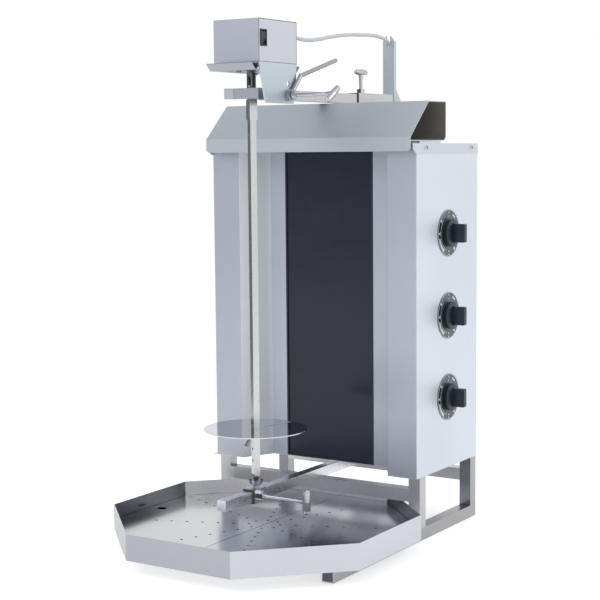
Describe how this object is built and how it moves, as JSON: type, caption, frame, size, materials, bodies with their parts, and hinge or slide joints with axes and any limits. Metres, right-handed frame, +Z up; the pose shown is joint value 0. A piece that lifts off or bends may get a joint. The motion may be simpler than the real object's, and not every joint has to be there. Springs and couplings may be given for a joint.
{
  "type": "gas doner kebab grill",
  "caption": "Upright doner kebab grill: steel body with splayed wings, glass-fronted gas burners, side knobs, motor-driven vertical spit with disc, hood and octagonal slide-out grease tray.",
  "frame": {"origin": "centre of the bounding box at floor level", "axes": "+Z up, -Y to the front where the spit and tray are, +X to the side with the knobs"},
  "size_m": [0.452, 0.6616, 0.815],
  "materials": {
    "brushed_sheet": "brushed sheet",
    "tube_steel": "ground tube",
    "mirror_steel": "polished",
    "satin_steel": "satin",
    "screw_steel": "turned",
    "dark_glass": "polished",
    "black_frame": "satin black",
    "black_plastic": "moulded",
    "dial_grey": "printed disc",
    "gas_brass": "machined",
    "gas_pipe": "zinc plated",
    "burner_ceramic": "ceramic face in a steel case",
    "rack_steel": "galvanised",
    "motor_grey": "painted casting",
    "cable_sheath": "ribbed sheath"
  },
  "bodies": {
    "stand_and_body": {"leg_front_left": "tube_steel", "leg_front_right": "tube_steel", "leg_rear_left": "tube_steel", "leg_rear_right": "tube_steel", "rail_left": "tube_steel", "rail_right": "tube_steel", "front_crossbar": "tube_steel", "rear_crossbar": "tube_steel", "tube_plugs": "black_plastic", "left_side_panel": "brushed_sheet", "right_side_panel": "brushed_sheet", "back_panel": "brushed_sheet", "top_cover": "brushed_sheet", "bottom_panel": "brushed_sheet", "left_wing": "brushed_sheet", "right_wing": "brushed_sheet", "glass_panel": "dark_glass", "glass_frame": "black_frame", "cover_screws": "screw_steel", "hood": "brushed_sheet", "burner_rack": "rack_steel", "burner_lower": "burner_ceramic", "burner_middle": "burner_ceramic", "burner_upper": "burner_ceramic", "gas_manifold": "gas_pipe", "gas_valves": "gas_brass", "knob_bezels": "dial_grey", "rear_housing": "brushed_sheet", "rear_post": "brushed_sheet", "lower_arm": "tube_steel", "upper_sleeve": "tube_steel", "motor_cable": "cable_sheath"},
    "lower_knob": {"knob_lower": "black_plastic"},
    "middle_knob": {"knob_middle": "black_plastic"},
    "upper_knob": {"knob_upper": "black_plastic"},
    "upper_arm": {"arm_tube": "tube_steel", "spit_hook": "satin_steel"},
    "sleeve_screw": {"sleeve_clamp_screw": "screw_steel"},
    "slider_screw": {"slider_clamp_screw": "screw_steel"},
    "head_screw": {"head_clamp_screw": "screw_steel"},
    "motor_head": {"head_bracket": "satin_steel", "heat_shield": "brushed_sheet", "shield_screws": "screw_steel", "motor_housing": "mirror_steel", "gear_motor": "motor_grey", "rocker_bezel": "black_plastic", "lift_lever": "satin_steel", "cable_gland": "black_plastic"},
    "rocker": {"rocker_switch": "black_plastic"},
    "socket": {"drive_socket": "mirror_steel"},
    "slider": {"slider_block": "tube_steel", "bearing_cup": "mirror_steel"},
    "spit": {"spit_bar": "satin_steel", "spit_collar": "satin_steel"},
    "disc": {"carving_disc": "mirror_steel", "disc_screw": "screw_steel"},
    "tray": {"tray_pan": "mirror_steel"},
    "left_insert": {"insert_left": "mirror_steel"},
    "right_insert": {"insert_right": "mirror_steel"}
  },
  "joints": [
    {"name": "tray_slide", "type": "slide", "parent": "stand_and_body", "child": "tray", "axis": [0, -1, 0], "range_m": [0, 0.24]},
    {"name": "left_insert_lift", "type": "slide", "parent": "tray", "child": "left_insert", "axis": [0, 0, 1], "range_m": [0, 0.02]},
    {"name": "right_insert_lift", "type": "slide", "parent": "tray", "child": "right_insert", "axis": [0, 0, 1], "range_m": [0, 0.02]},
    {"name": "arm_slide", "type": "slide", "parent": "stand_and_body", "child": "upper_arm", "axis": [0, -1, 0], "range_m": [-0.02, 0.06], "deforming": ["motor_cable"]},
    {"name": "slider_slide", "type": "slide", "parent": "stand_and_body", "child": "slider", "axis": [0, -1, 0], "range_m": [-0.02, 0.06]},
    {"name": "head_tilt", "type": "hinge", "parent": "upper_arm", "child": "motor_head", "pos_m": [0, -0.08635, 0.701], "axis": [-1, 0, 0], "range_deg": [0, 25], "deforming": ["motor_cable"]},
    {"name": "spit_spin", "type": "hinge", "parent": "slider", "child": "spit", "pos_m": [0, -0.12735, 0.11], "axis": [0, 0, 1], "continuous": true},
    {"name": "socket_spin", "type": "hinge", "parent": "motor_head", "child": "socket", "pos_m": [0, -0.12735, 0.72], "axis": [0, 0, 1], "continuous": true},
    {"name": "disc_height", "type": "slide", "parent": "spit", "child": "disc", "axis": [0, 0, 1], "range_m": [0, 0.3]},
    {"name": "sleeve_screw_turn", "type": "hinge", "parent": "stand_and_body", "child": "sleeve_screw", "pos_m": [0, 0.19965, 0.73], "axis": [0, 0, 1], "range_deg": [0, 360]},
    {"name": "head_screw_turn", "type": "hinge", "parent": "motor_head", "child": "head_screw", "pos_m": [0.03, -0.08635, 0.701], "axis": [1, 0, 0], "range_deg": [0, 360]},
    {"name": "slider_screw_turn", "type": "hinge", "parent": "slider", "child": "slider_screw", "pos_m": [0.05, -0.13235, 0.09], "axis": [1, 0, 0], "range_deg": [0, 360]},
    {"name": "rocker_press", "type": "hinge", "parent": "motor_head", "child": "rocker", "pos_m": [0.0375, -0.15385, 0.783], "axis": [0, -1, 0], "range_deg": [0, 16]},
    {"name": "lower_knob_turn", "type": "hinge", "parent": "stand_and_body", "child": "lower_knob", "pos_m": [0.2, 0.14565, 0.218], "axis": [1, 0, 0], "range_deg": [0, 240]},
    {"name": "middle_knob_turn", "type": "hinge", "parent": "stand_and_body", "child": "middle_knob", "pos_m": [0.2, 0.14565, 0.351], "axis": [1, 0, 0], "range_deg": [0, 240]},
    {"name": "upper_knob_turn", "type": "hinge", "parent": "stand_and_body", "child": "upper_knob", "pos_m": [0.2, 0.14565, 0.484], "axis": [1, 0, 0], "range_deg": [0, 240]}
  ],
  "couplings": [
    {"joint": "slider_slide", "follows": "arm_slide", "ratio": 1},
    {"joint": "socket_spin", "follows": "spit_spin", "ratio": 1}
  ]
}
